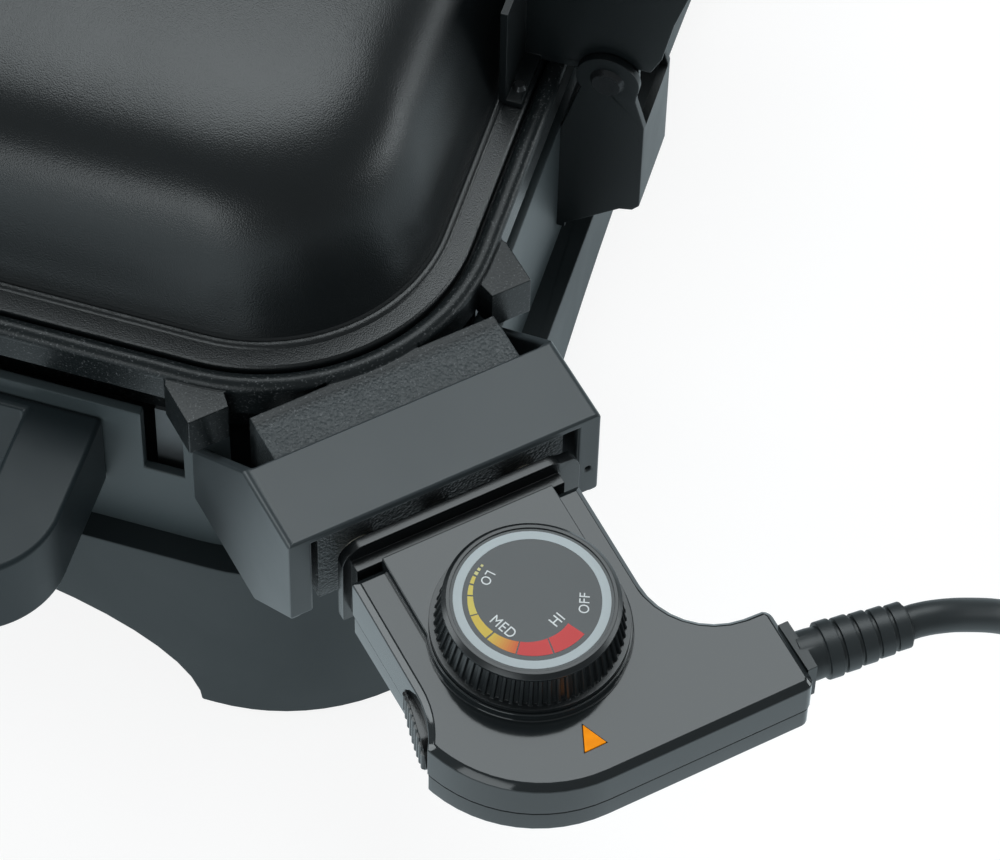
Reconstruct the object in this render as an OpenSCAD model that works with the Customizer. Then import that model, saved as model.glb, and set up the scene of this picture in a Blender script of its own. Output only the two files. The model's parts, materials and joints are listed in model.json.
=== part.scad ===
/* [Cast plate and lid] */
// Length of the cast plate's rim, left to right
pan_l = 430; // [410:1:450]
// Depth of the cast plate's rim, front to back
pan_w = 330; // [320:1:340]
// Outer corner radius of the rim
rim_r = 68; // [64:1:72]
// Height of the rim's top above the table
rim_z = 157; // [155:1:160]
// Rise of the lid's dome above the rim
dome_h = 58; // [52:1:66]
// Thickness of the lid's sheet
lid_t = 2; // [1.5:0.1:2.5]
// Spacing of the plate's grill ridges
ridge_step = 16; // [14:1:20]

/* [Base] */
// Height of the stand's ledge above the table
ledge_z = 76; // [74:1:78]
// How far the stand stands out past the rim
skirt_out = 8; // [7:1:10]
// Height of the tub's top edge above the table
tub_top = 133; // [130:1:135]
// Wall thickness of the moulded base pieces
wall = 3; // [2.5:0.1:3.5]
// Rise of the arches between the legs
arch_h = 50; // [46:1:52]
// Length of each leg along the stand's sides
leg_w = 74; // [70:1:78]
// How far a carry handle reaches out from the tub
handle_out = 63; // [58:1:66]

/* [Controller] */
// Width of the probe guard across its front
guard_w = 96; // [94:1:100]
// Width of the controller's neck
neck_w = 69.8; // [68:0.1:71]
// Diameter of the dial's bezel
bezel_d = 48.6; // [46:0.1:50]
// Number of ribs round the dial
rib_count = 62; // [40:2:64]
// Slope of the controller's top, in degrees
top_slope = 3; // [2:0.5:4]

/* [Power cord] */
// Diameter of the power cord
cord_d = 9.6; // [9:0.1:9.8]
// Turns in the stored coil
coil_turns = 3.25; // [3.25:1:4.25]

/* [Hidden] */
$fn = 64;
eps = 0.01;

// Half sizes of the rim
half_l = pan_l / 2;
half_w = pan_w / 2;

// Heights in the cast plate
rim_face_z = rim_z - 13;
rim_bead_r = 3;
seat_z = rim_z - 4;
floor_top = rim_z - 29;
floor_under = rim_z - 36;
ridge_h = 4;
pan_wall_in = 12;
pan_wall_t = 6;

// Stand
stand_r = 70;
stand_l = pan_l + 2 * skirt_out;
stand_w = pan_w + 2 * skirt_out;
foot_gap = 2;
ledge_t = 4;
leg_post = [stand_l / 2 - 34, stand_w / 2 - 34];
foot_r = 10;

// Tub
plate_post = [half_l - 45, half_w - 45];
stand_boss = [120, half_w - 10];
boss_top = ledge_z + 14;
notch_near = 81;
notch_w = 12;
notch_depth = 26;

// Screws shared by the base
screw_r = 1.9;
pilot_r = 1.95;

// Corner frame: origin at the middle of the guard's front top edge, X outwards
guard_out = 10.5;
corner_d = -(guard_out + rim_r) * sqrt(2);
block_half = 38;
block_end = -3;
pin_t = 25;
pin_z = -20;
pin_r = 2.5;
probe_r = 4;
guard_t = 3;
guard_deep = 28;
leg_drop = 36;
hood_drop = 59;

// Hinges
hinge_x = 66.5;
hinge_half = 14;
hinge_y = half_w + 13.3;
hinge_z = rim_z + 1.5;
cheek_t = 2.5;
hinge_pin_r = 4;

// Drip tray
tray_half = 84;
tray_front = -148;
tray_back = 132;
tray_z = 12;
tray_rim = 32;
rail_y = 160;

// Controller outline, in the corner frame
neck_left = 0.5 - neck_w / 2;
neck_right = 0.5 + neck_w / 2;
neck_front = 10.5;
flare_start = 48;
flare_corner = [65, -39.6];
outer_d = 94.3;
outer_t = 0.1;
wing_t = 63;
wing_in = 67.5;
wing_r = 3;
ctl_bottom = -38;
seam_z = -28.4;
bevel = 1.8;
shell_t = 3.2;
dial_d = 45.6;
dial_t = 1.4;
dial_top = -13.2;
boss_h = 3;
boss_r = 28;
dial_rise = 16.8;
platform_half = 26.2;
platform_front = 9.3;

// Power cord, lying on the table in the corner frame: outwards, sideways, height
cord_route = [[85.4, 97, 133.5], [85.77, 100, 133.5], [87.2, 106.5, 132.9], [88.9, 115.5, 129.5],
  [90.6, 125, 124], [91.5, 135, 114], [92, 145, 101], [92, 155, 86], [92, 165, 70], [92, 175, 54],
  [92, 185, 39], [92, 195, 26], [92, 206, 15], [92, 218, 8.2], [92, 231, 5.8], [92, 244, 5.6],
  [92, 251, 5.6]];
relief_start = [81.2, 63, 133.5];
coil_pitch = cord_d + 0.6;
coil_in = 45;
coil_out = coil_in + coil_pitch * coil_turns / 2;
coil_c = [92 - coil_out, 255];
coil_z = 5.6;
coil_tail = 30;
loop_rings = 24;

// Plain shapes

// Rounded rectangle with true arcs
module round_rect(l, w, r) {
  square([l - 2 * r, w], center = true);
  square([l, w - 2 * r], center = true);
  for (x = [-1, 1], y = [-1, 1])
    translate([x * (l / 2 - r), y * (w / 2 - r)]) circle(r);
}

// The rim's outline moved inwards
module rim_shape(inset) round_rect(pan_l - 2 * inset, pan_w - 2 * inset, rim_r - inset);

// Prism of the rim's outline between two heights
module rim_prism(inset, z0, z1) translate([0, 0, z0]) linear_extrude(z1 - z0) rim_shape(inset);

// Copies at the four quadrants
module four(p) for (x = [-1, 1], y = [-1, 1]) translate([x * p[0], y * p[1], 0]) children();

// Triangles over an outline that may turn inwards, each cut off at its shortest ear
function turn(a, b, c) = (b[0] - a[0]) * (c[1] - a[1]) - (b[1] - a[1]) * (c[0] - a[0]);
function covers(t, p) = turn(t[0], t[1], p) >= 0 && turn(t[1], t[2], p) >= 0 && turn(t[2], t[0], p) >= 0;
function around(ids, i) = let (n = len(ids)) [ids[(i + n - 1) % n], ids[i], ids[(i + 1) % n]];
function is_ear(pts, ids, i) =
  let (e = around(ids, i), t = [for (k = e) pts[k]])
  turn(t[0], t[1], t[2]) > 0.0001
    && len([for (k = ids) if (k != e[0] && k != e[1] && k != e[2] && covers(t, pts[k])) k]) == 0;
function ears(pts, ids) = len(ids) == 3 ? [ids] :
  let (found = [for (i = [0 : len(ids) - 1]) if (is_ear(pts, ids, i)) i],
    spans = [for (i = found) let (e = around(ids, i)) norm(pts[e[2]] - pts[e[0]])],
    cut = found[search(min(spans), spans)[0]])
  concat([around(ids, cut)], ears(pts, [for (i = [0 : len(ids) - 1]) if (i != cut) ids[i]]));

// Closed skin over rings of points that run counter-clockwise along the way
module skin(rings, turns_in = false) {
  n = len(rings[0]);
  m = len(rings);
  points = [for (ring = rings, p = ring) p];
  sides = [for (i = [0 : m - 2], j = [0 : n - 1])
    let (k = (j + 1) % n, a = i * n + j, b = i * n + k, c = a + n, d = b + n)
      each [[a, c, d], [a, d, b]]];
  ids = [for (j = [0 : n - 1]) j];
  first = turns_in ? ears(rings[0], ids) : [ids];
  last = turns_in ? ears(rings[m - 1], ids) : [ids];
  back = [for (f = last) [for (j = [len(f) - 1 : -1 : 0]) (m - 1) * n + f[j]]];
  polyhedron(points, concat(sides, first, back));
}

function unit(v) = v / norm(v);

// Ring of points round a path, square to it
function path_ring(path, i, r, sides) =
  let (last = len(path) - 1,
    way = unit(path[min(i + 1, last)] - path[max(i - 1, 0)]),
    side = unit(cross(way, [0, 0, 1])),
    up = cross(side, way))
  [for (k = [0 : sides - 1]) path[i] + r * (cos(360 * k / sides) * up + sin(360 * k / sides) * side)];

// Round tube along a path
module tube(path, r, sides) skin([for (i = [0 : len(path) - 1]) path_ring(path, i, r, sides)]);

// Arc of points
function arc(c, r, a0, a1, n) = [for (i = [0 : n])
  let (a = a0 + (a1 - a0) * i / n)
    c + r * [cos(a), sin(a)]];

// Screw with a flat round head, head down at the origin, shank up
module screw_up(shank_l, head_r, head_h) {
  translate([0, 0, -head_h]) cylinder(h = head_h, r = head_r);
  translate([0, 0, -eps]) cylinder(h = shank_l + eps, r = screw_r);
}

// Corner frame at the rear right
module at_corner() translate([half_l + guard_out, half_w + guard_out, rim_z]) rotate(45) children();
function corner_point(p) = [
  half_l + guard_out + (p[0] - p[1]) * sqrt(0.5),
  half_w + guard_out + (p[0] + p[1]) * sqrt(0.5),
  p[2]];

// Frame on the controller's sloping top, at the dial's axis
module at_top() translate([dial_d, dial_t, dial_top]) rotate([0, top_slope, 0]) children();
module at_dial() at_corner() at_top() children();

// Base

module base_stand() color("#3b3e41") difference() {
  union() {
    difference() {
      translate([0, 0, foot_gap]) linear_extrude(ledge_z - foot_gap) round_rect(stand_l, stand_w, stand_r);
      linear_extrude(ledge_z - ledge_t) round_rect(stand_l - 2 * wall, stand_w - 2 * wall, stand_r - wall);
      linear_extrude(ledge_z + 1) round_rect(pan_l - 30, pan_w - 30, 80);
    }
    four(leg_post) translate([0, 0, foot_gap]) cylinder(h = ledge_z - ledge_t - foot_gap + eps, r = 13);
    for (x = [-1, 1], y = [-1, 1]) scale([x, y, 1])
      translate([leg_post[0], leg_post[1], foot_gap]) {
        translate([0, -1.5, 0]) cube([21.5, wall, ledge_z - ledge_t - foot_gap + eps]);
        translate([-1.5, 0, 0]) cube([wall, 21.5, ledge_z - ledge_t - foot_gap + eps]);
      }
  }
  rotate([90, 0, 0]) linear_extrude(stand_w + 2, center = true) arch(stand_l / 2 - leg_w);
  rotate([90, 0, 90]) linear_extrude(stand_l + 2, center = true) arch(stand_w / 2 - leg_w);
  four(leg_post) translate([0, 0, foot_gap - 1]) cylinder(h = 6, r = foot_r);
  four(stand_boss) cylinder(h = ledge_z + 1, r = 2.2);
  four([102, rail_y - 5]) translate([0, 0, ledge_z - ledge_t - 1]) cylinder(h = 4, r = pilot_r);
}

// Half ellipse on the table
module arch(half) polygon([for (i = [0 : 24]) [half * cos(7.5 * i), arch_h * sin(7.5 * i)]]);

module rubber_feet() color("#1c1c1c") four(leg_post) {
  cylinder(h = foot_gap + 5, r = foot_r);
}

module base_tub() color("#3f4245") difference() {
  union() {
    difference() {
      rim_prism(0, ledge_z, tub_top);
      rim_prism(wall, ledge_z - 1, tub_top + 1);
    }
    difference() {
      rim_prism(wall - eps, ledge_z, ledge_z + wall);
      translate([0, 0, ledge_z - 1]) linear_extrude(wall + 2) round_rect(pan_l - 34, pan_w - 34, 112);
    }
    four(plate_post) translate([0, 0, ledge_z]) cylinder(h = floor_under - ledge_z, r = 8);
    four(stand_boss) translate([0, 0, ledge_z]) cylinder(h = boss_top - ledge_z, r = 5);
  }
  // Notches beside the terminal corner
  translate([half_l - 8, half_w + guard_out - notch_near - notch_w, tub_top - notch_depth])
    cube([10, notch_w, notch_depth + 1]);
  translate([half_l + guard_out - notch_near - notch_w, half_w - 8, tub_top - notch_depth])
    cube([notch_w, 10, notch_depth + 1]);
  // Gap for the cast terminal block and the element's ends
  at_corner() translate([corner_d + 40, -block_half - 1, -47]) cube([40, 2 * block_half + 2, 60]);
  four(plate_post) translate([0, 0, ledge_z - 1]) cylinder(h = 60, r = 2.2);
  four(stand_boss) translate([0, 0, ledge_z - 1]) cylinder(h = 12, r = pilot_r);
  guard_bolts(pilot_r, 8);
  handle_bolts(2.2, 10);
  bracket_bolts(pilot_r);
}

module stand_screws() color("#777777") four(stand_boss)
  translate([0, 0, ledge_z - ledge_t]) screw_up(14, 4, 2.6);

// Carry handles

module handle_outline() difference() {
  union() {
    translate([half_l, -71]) square([handle_out - 28, 142]);
    translate([half_l, -43]) square([handle_out, 86]);
    for (y = [-1, 1]) translate([half_l + handle_out - 28, y * 43]) circle(28);
  }
  translate([half_l + 4, -49]) square([handle_out - 37, 98]);
  translate([half_l + 4, -37]) square([handle_out - 25, 74]);
  for (y = [-1, 1]) translate([half_l + handle_out - 33, y * 37]) circle(12);
}

module carry_handle() difference() {
  translate([0, 0, 97]) linear_extrude(30) handle_outline();
  // Finger hollow along the underside of the grip
  translate([half_l + handle_out - 11, 0, 93]) rotate([90, 0, 0]) cylinder(h = 90, r = 7, center = true);
  handle_bolts(pilot_r, 22);
}

module right_handle() color("#22262b") carry_handle();
module left_handle() color("#22262b") mirror([1, 0, 0]) carry_handle();

// Horizontal bolts through the tub's ends into the handles
module handle_bolts(r, reach) for (x = [0, 1], y = [-60, 60]) mirror([x, 0, 0])
  translate([half_l - 6, y, 112]) rotate([0, 90, 0]) cylinder(h = 6 + reach, r = r);

module handle_screws() color("#777777") for (x = [0, 1], y = [-60, 60]) mirror([x, 0, 0])
  translate([half_l - wall, y, 112]) rotate([0, 90, 0]) screw_up(20, 4, 2.6);

// Cast plate

// Round bead along the rim, with true corner arcs
module rim_bead(inset, z, r) translate([0, 0, z]) {
  sx = half_l - rim_r;
  sy = half_w - rim_r;
  for (s = [-1, 1]) {
    translate([0, s * (half_w - inset), 0]) rotate([0, 90, 0]) cylinder(h = 2 * sx, r = r, center = true);
    translate([s * (half_l - inset), 0, 0]) rotate([90, 0, 0]) cylinder(h = 2 * sy, r = r, center = true);
  }
  for (q = [0 : 3]) translate([(q == 0 || q == 3 ? 1 : -1) * sx, (q < 2 ? 1 : -1) * sy, 0])
    rotate(90 * q) rotate_extrude(angle = 90) translate([rim_r - inset, 0]) circle(r);
}

// Wedge lug beside the terminal corner, in the corner frame
module wedge_lug() translate([0, 0, -18])
  linear_extrude(15) polygon([[-66, 53.5], [-51, 53.5], [-51, 41], [-56, 40], [-60, 40], [-70, 51]]);

module terminal_block() difference() {
  translate([0, 0, floor_under - rim_z]) {
    linear_extrude(rim_z - floor_under - 2)
      translate([-44.5, -block_half]) square([44.5 + block_end, 2 * block_half]);
    linear_extrude(rim_z - floor_under - 6) translate([-60.6, -20]) square([30, 40]);
  }
  translate([-guard_deep - 0.5, -60, -guard_t - 0.4]) cube([40, 120, 10]);
  difference() {
    translate([-46, -32, floor_under - rim_z - 1]) cube([34, 64, 29]);
    translate([-47, 0, pin_z]) rotate([0, 90, 0]) cylinder(h = 42, r = 8);
    translate([-47, -5, pin_z]) cube([42, 10, 20]);
  }
  translate([-50, 0, pin_z]) rotate([0, 90, 0]) cylinder(h = 60, r = probe_r + 0.08);
  for (s = [-1, 1]) translate([-14, s * pin_t, pin_z]) rotate([0, 90, 0]) cylinder(h = 20, r = 5.5);
}

module grill_plate() color("#34363a") difference() {
  union() {
    difference() {
      union() {
        rim_prism(0.15, rim_face_z, rim_z - rim_bead_r);
        rim_prism(pan_wall_in, floor_under, seat_z);
        rim_bead(rim_bead_r, rim_z - rim_bead_r, rim_bead_r);
      }
      rim_prism(2 * rim_bead_r - 0.15, seat_z, rim_z + 1);
      rim_prism(pan_wall_in + pan_wall_t, floor_top, rim_z + 1);
      difference() {
        rim_prism(2 * rim_bead_r - 1, rim_face_z - 1, rim_face_z + 4);
        rim_prism(pan_wall_in, rim_face_z - 2, rim_face_z + 5);
      }
    }
    grill_ridges();
    translate([0, 0, floor_under - 34]) cylinder(h = 36, r = 9);
    at_corner() {
      wedge_lug();
      mirror([0, 1, 0]) wedge_lug();
      terminal_block();
    }
  }
  translate([0, 0, floor_under - 36]) cylinder(h = 60, r = 6);
  four(plate_post) translate([0, 0, floor_under - 1]) cylinder(h = 6, r = pilot_r);
  clip_places() translate([0, 0, floor_under - 1]) cylinder(h = 6, r = pilot_r);
}

// Ridges from front to back, set in from a draining gutter
module grill_ridges() {
  span = half_l - 34;
  count = floor(span / ridge_step);
  for (i = [-count : count]) translate([i * ridge_step - 2.5, -half_w + 34, floor_top - eps]) difference() {
    cube([5, pan_w - 68, ridge_h]);
    if (i == 0) translate([-4, half_w - 44, -1]) cube([13, 20, ridge_h + 2]);
  }
}

module plate_screws() color("#777777") four(plate_post)
  translate([0, 0, ledge_z]) screw_up(floor_under - ledge_z + 4, 4, 2.6);

// Heating element: one sheathed tube in a loop under the plate, ends rising to the terminals
function element_end(side) = concat(
  [corner_point([-20, side * pin_t, rim_z + pin_z])],
  [for (i = [0 : 8])
    corner_point([-23 - 26 * i / 8, side * pin_t, rim_z + pin_z - 10 * (1 - cos(180 * i / 8))])],
  [corner_point([-105, side * pin_t, rim_z - 40])]);
function flat_arc(c, r, a0, a1, n) = [for (p = arc(c, r, a0, a1, n)) [p[0], p[1], rim_z - 40]];
function element_path() =
  let (bend = 30, turn = 40, ex = half_l - 55, ey = half_w - 55,
    from = corner_point([-105, pin_t, 0]), back = corner_point([-105, -pin_t, 0]),
    c1 = [from[0], from[1]] + bend * [cos(135), sin(135)],
    c2 = [back[0], back[1]] + bend * [cos(-45), sin(-45)],
    tail = element_end(-1))
  concat(element_end(1),
    [for (i = [1 : 4]) let (a = -45 - 11.25 * i) [c1[0] + bend * cos(a), c1[1] + bend * sin(a), rim_z - 40]],
    flat_arc([-ex + turn, c1[1] - bend - turn], turn, 90, 180, 8),
    flat_arc([-ex + turn, -ey + turn], turn, 180, 270, 8),
    flat_arc([c2[0] - bend - turn, -ey + turn], turn, 270, 360, 8),
    [for (i = [0 : 3]) let (a = 180 - 11.25 * i) [c2[0] + bend * cos(a), c2[1] + bend * sin(a), rim_z - 40]],
    [for (i = [len(tail) - 1 : -1 : 0]) tail[i]]);

module heating_element() color("#5a5550") tube(element_path(), 4, 8);

// Strap clips that hold the element against the plate
clip_x = [-95, 95];
module clip_places() for (x = clip_x, y = [-1, 1]) translate([x, y * (half_w - 55 - 10), 0]) children();
module element_clips() color("#9a9a98") difference() {
  clip_straps();
  clip_places() translate([0, 0, floor_under - 3]) cylinder(h = 6, r = 2.2);
}
module clip_straps() for (x = clip_x, y = [-1, 1])
  translate([x, y * (half_w - 55), floor_under]) mirror([0, y > 0 ? 0 : 1, 0]) rotate([90, 0, 90])
    linear_extrude(10, center = true) difference() {
      union() {
        translate([0, -4]) circle(5.5);
        translate([-5.5, -4]) square([11, 4]);
        translate([-15, -1.5]) square([12, 1.5]);
      }
      translate([0, -4]) circle(4.2);
      translate([-4.2, -4]) square([8.4, 7]);
    }
module clip_screws() color("#777777") clip_places()
  translate([0, 0, floor_under - 1.5]) screw_up(5.5, 3.4, 2);

module terminal_pins() color("#c9c9c6") at_corner() for (s = [-1, 1])
  translate([-20, s * pin_t, pin_z]) rotate([0, 90, 0]) {
    cylinder(h = 35, r = pin_r);
    translate([0, 0, 35]) cylinder(h = 2, r1 = pin_r, r2 = 1.2);
  }

module pin_insulators() color("#d8d2c4") at_corner() for (s = [-1, 1])
  translate([-14, s * pin_t, pin_z]) rotate([0, 90, 0]) difference() {
    cylinder(h = 12.5, r = 5.5);
    translate([0, 0, -1]) cylinder(h = 15, r = pin_r);
  }

// Sheet reflector under the element, with two ears behind the tub's notches
module heat_reflector() color("#b4b6b5") difference() {
  union() {
    rim_prism(6, boss_top, boss_top + 1.2);
    difference() {
      rim_prism(6, boss_top, boss_top + 8);
      rim_prism(7.2, boss_top - 1, boss_top + 9);
    }
    translate([half_l - 7.2, half_w + guard_out - notch_near - notch_w + 2, boss_top])
      cube([1.2, notch_w - 2, tub_top - boss_top - 4]);
    translate([half_l + guard_out - notch_near - notch_w + 2, half_w - 7.2, boss_top])
      cube([notch_w - 2, 1.2, tub_top - boss_top - 4]);
  }
  translate([0, 0, boss_top - 1]) cylinder(h = 4, r = 14);
  four(plate_post) translate([0, 0, boss_top - 1]) cylinder(h = 12, r = 9);
}

// Probe guard

module guard_side() rotate([90, 0, 0]) linear_extrude(guard_t)
  polygon([[0, 0], [0, -leg_drop], [-24, -hood_drop], [-66, -hood_drop], [-66, -38], [-guard_deep, 0]]);

module probe_guard() color("#3a3c3e") difference() {
  at_corner() difference() {
    union() {
      translate([-guard_deep, -guard_w / 2, -guard_t]) cube([guard_deep, guard_w, guard_t]);
      translate([0, -guard_w / 2 + guard_t, 0]) guard_side();
      translate([0, guard_w / 2, 0]) guard_side();
      for (s = [0, 1]) mirror([0, s, 0])
        translate([-guard_t, guard_w / 2 - 7, -leg_drop]) cube([guard_t, 7, leg_drop]);
      // Floor and curved flange against the tub
      translate([-66, -guard_w / 2, -hood_drop]) cube([42, guard_w, guard_t]);
      intersection() {
        translate([corner_d, 0, -hood_drop]) cylinder(h = 12, r = rim_r + guard_t);
        translate([-66, -guard_w / 2, -hood_drop]) cube([42, guard_w, 12]);
      }
    }
    translate([corner_d, 0, -hood_drop - 1]) cylinder(h = 80, r = rim_r);
    // Dot hole in the right leg
    translate([-5, guard_w / 2 - 3.5, -24.5]) rotate([0, 90, 0]) cylinder(h = 10, r = 0.8);
  }
  guard_bolts(2.2, 8);
}

// Bolts that fan out square to the tub's corner
module guard_bolts(r, reach) at_corner() for (a = [-24, 24])
  translate([corner_d, 0, -52]) rotate([0, 90, a])
    translate([0, 0, rim_r - 8]) cylinder(h = 8 + reach, r = r);

module guard_screws() color("#777777") at_corner() for (a = [-24, 24])
  translate([corner_d, 0, -52]) rotate([0, 90, a]) translate([0, 0, rim_r + guard_t]) mirror([0, 0, 1])
    screw_up(7.5, 3.6, 2.2);

// Hinges

module each_side() for (s = [0, 1]) mirror([s, 0, 0]) children();

// Plate standing in the fore-and-aft plane, its outer face at x
module cheek(x) translate([x, 0, 0]) rotate([90, 0, 90])
  translate([0, 0, -cheek_t]) linear_extrude(cheek_t) children();

module base_cheek_shape() {
  translate([hinge_y, hinge_z]) circle(9.5);
  polygon([[half_w, ledge_z + 9], [half_w + 19, ledge_z + 24.5], [half_w + 23, ledge_z + 25.5],
    [half_w + 25, ledge_z + 28], [half_w + 25, rim_z - 16], [half_w + 22, rim_z - 5],
    [hinge_y + 9, rim_z - 2], [hinge_y - 8, rim_z - 4], [half_w, rim_z - 25]]);
}

module base_bracket() difference() {
  union() {
    cheek(hinge_x + hinge_half) base_cheek_shape();
    cheek(hinge_x - hinge_half + cheek_t) base_cheek_shape();
    // Back plate and the plate screwed to the tub
    translate([hinge_x - hinge_half, half_w + 25 - cheek_t, ledge_z + 28])
      cube([2 * hinge_half, cheek_t, 36]);
    translate([hinge_x - hinge_half, half_w, ledge_z + 9]) cube([2 * hinge_half, cheek_t, 44]);
  }
  translate([hinge_x - 30, hinge_y, hinge_z]) rotate([0, 90, 0]) cylinder(h = 60, r = hinge_pin_r);
  bracket_bolts(2.2);
}

module right_base_bracket() color("#2b2e31") base_bracket();
module left_base_bracket() color("#2b2e31") mirror([1, 0, 0]) base_bracket();

module bracket_bolts(r) each_side() for (z = [ledge_z + 20, ledge_z + 42])
  translate([hinge_x, half_w - 8, z]) rotate([-90, 0, 0]) cylinder(h = 16, r = r);

module bracket_screws() color("#777777") each_side() for (z = [ledge_z + 20, ledge_z + 42])
  translate([hinge_x, half_w + cheek_t, z]) rotate([90, 0, 0]) screw_up(7.5, 4, 2.6);

module hinge_pins() color("#2a2c2e") each_side()
  translate([hinge_x - hinge_half - 1.5, hinge_y, hinge_z]) rotate([0, 90, 0]) {
    cylinder(h = 2 * hinge_half + 1.5, r = hinge_pin_r);
    translate([0, 0, 2 * hinge_half + 1.5]) cylinder(h = 1.6, r1 = 5.2, r2 = 4.2);
    cylinder(h = 1.5, r = 5.2);
  }

module lid_cheek_shape() {
  translate([hinge_y, hinge_z]) circle(8.5);
  polygon([[half_w - 14.5, rim_z + 0.3], [hinge_y - 8, rim_z + 1], [hinge_y + 8.4, hinge_z],
    [hinge_y + 9, rim_z + 30], [hinge_y + 12, rim_z + 46], [half_w - 14.5, rim_z + 40]]);
}

module lid_bracket() difference() {
  union() {
    for (x = [hinge_x + hinge_half - cheek_t - 0.4, hinge_x - hinge_half + 2 * cheek_t + 0.4])
      cheek(x) lid_cheek_shape();
    // Plate on the lid with a foot on its flange
    translate([hinge_x - 30, half_w - 14.5, rim_z + 0.3]) cube([60, 2.2, 40]);
    translate([hinge_x - 30, half_w - 14.5, rim_z + 0.3]) cube([60, 7, 2]);
    // Rear cover that leans back as it rises
    cheek_cover();
  }
  translate([hinge_x - 30, hinge_y, hinge_z]) rotate([0, 90, 0]) cylinder(h = 60, r = hinge_pin_r + 0.06);
  lid_rivet_places(1.6);
}

module cheek_cover() {
  inner = hinge_half - cheek_t - 0.4;
  translate([hinge_x - inner, 0, 0]) rotate([90, 0, 90]) linear_extrude(2 * inner)
    polygon([[hinge_y + 7, hinge_z + 5], [hinge_y + 12, hinge_z + 5], [hinge_y + 15, hinge_z + 12],
      [hinge_y + 18, rim_z + 30], [hinge_y + 23, rim_z + 48], [half_w - 14.5, rim_z + 42],
      [half_w - 14.5, rim_z + 39.8], [hinge_y + 11, rim_z + 44], [hinge_y + 9, rim_z + 30]]);
}

module right_lid_bracket() color("#26292c") lid_bracket();
module left_lid_bracket() color("#26292c") mirror([1, 0, 0]) lid_bracket();

module lid_rivet_places(r) each_side() for (x = [hinge_x - 24, hinge_x + 24])
  translate([x, half_w - 10, rim_z - 4]) cylinder(h = 8, r = r);

module lid_rivets() color("#4a4c4e") each_side() for (x = [hinge_x - 24, hinge_x + 24])
  translate([x, half_w - 10, rim_z + 0.3]) {
    translate([0, 0, -lid_t]) cylinder(h = lid_t + 2.1, r = 1.6);
    translate([0, 0, 2]) cylinder(h = 1.3, r1 = 2.2, r2 = 1.4);
  }

// Lid

// Rounded rectangle of points at one height, set in from the rim
function lid_ring(inset, z) =
  let (r = inset < 16 ? rim_r - inset : max(30, rim_r - 16 - 0.3 * (inset - 16)),
    sx = half_l - inset - r, sy = half_w - inset - r)
  [for (q = [0 : 3], i = [0 : 8])
    let (a = 90 * q + 11.25 * i, x = (q == 0 || q == 3 ? 1 : -1) * sx, y = (q < 2 ? 1 : -1) * sy)
      [x + r * cos(a), y + r * sin(a), z]];

// Section of the dome: inset from the rim, share of the rise
dome = [[15.8, 0.02], [18, 0.16], [20.6, 0.36], [23.5, 0.54], [27.5, 0.69], [33, 0.8], [41, 0.885],
  [52, 0.94], [66, 0.975], [84, 1]];
lid_edge = 6.5;

module lid_solid() skin([lid_ring(lid_edge, seat_z + 0.3), lid_ring(lid_edge, rim_z - 0.8),
  lid_ring(lid_edge + 0.8, rim_z + 0.3), lid_ring(15, rim_z + 0.3),
  each [for (s = dome) lid_ring(s[0], rim_z + 0.3 + dome_h * s[1])]]);

module lid_shell() color("#232427") difference() {
  skin([each [for (i = [len(dome) - 1 : -1 : 0])
      lid_ring(dome[i][0] + 1.2 + 0.4 * lid_t, rim_z + 0.3 - lid_t + dome_h * dome[i][1])],
    lid_ring(lid_edge + lid_t, rim_z + 0.3 - lid_t), lid_ring(lid_edge + lid_t, seat_z + 0.3),
    lid_ring(lid_edge, seat_z + 0.3), lid_ring(lid_edge, rim_z - 0.8),
    lid_ring(lid_edge + 0.8, rim_z + 0.3), lid_ring(15, rim_z + 0.3),
    each [for (s = dome) lid_ring(s[0], rim_z + 0.3 + dome_h * s[1])]]);
  lid_rivet_places(1.6);
  post_bores(2.1);
}

// Lid handle: a grip bar on two posts at the front of the dome
post_x = 62;
post_z = rim_z + 24;
grip_y = -half_w - 26;
module post_bores(r) for (x = [-post_x, post_x])
  translate([x, -half_w + 30, post_z]) rotate([90, 0, 0]) cylinder(h = 44, r = r);

module handle_posts() color("#8b8d8e") difference() {
  for (x = [-post_x, post_x]) translate([x, -half_w + 30, post_z]) rotate([90, 0, 0])
    cylinder(h = -half_w + 30 - grip_y - 9, r = 6);
  lid_solid();
  post_bores(screw_r);
}

module lid_handle() color("#1d2024") difference() {
  translate([0, grip_y, post_z]) rotate([90, 0, 90]) linear_extrude(170, center = true) {
    translate([-9, -6]) square([18, 12]);
    translate([-4, -11]) square([8, 22]);
    for (y = [-4, 4], z = [-6, 6]) translate([y, z]) circle(5);
  }
  for (s = [-1, 1]) translate([s * 85, grip_y - 9, post_z]) rotate(s * 45) cube([10, 12, 40], center = true);
  post_bores(pilot_r);
}

// Screws from inside the dome into the grip
module post_screws() color("#777777") for (x = [-post_x, post_x])
  translate([x, -half_w + 26, post_z]) rotate([90, 0, 0]) screw_up(34, 4, 2.4);

// Drip tray

module tray_rails() color("#8d9092") each_side() difference() {
  union() {
    translate([95, -rail_y, 28.2]) cube([1.5, 2 * rail_y, ledge_z - ledge_t - 28.2]);
    translate([88, -rail_y, 28.2]) cube([8, 2 * rail_y, 1.5]);
    translate([95, -rail_y, ledge_z - ledge_t - 1.5]) cube([14, 2 * rail_y, 1.5]);
  }
  for (y = [-1, 1]) translate([102, y * (rail_y - 5), ledge_z - ledge_t - 3]) cylinder(h = 4, r = 2.2);
}

module rail_screws() color("#777777") four([102, rail_y - 5])
  translate([0, 0, ledge_z - ledge_t - 1.5]) screw_up(4.2, 3.6, 2);

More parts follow.
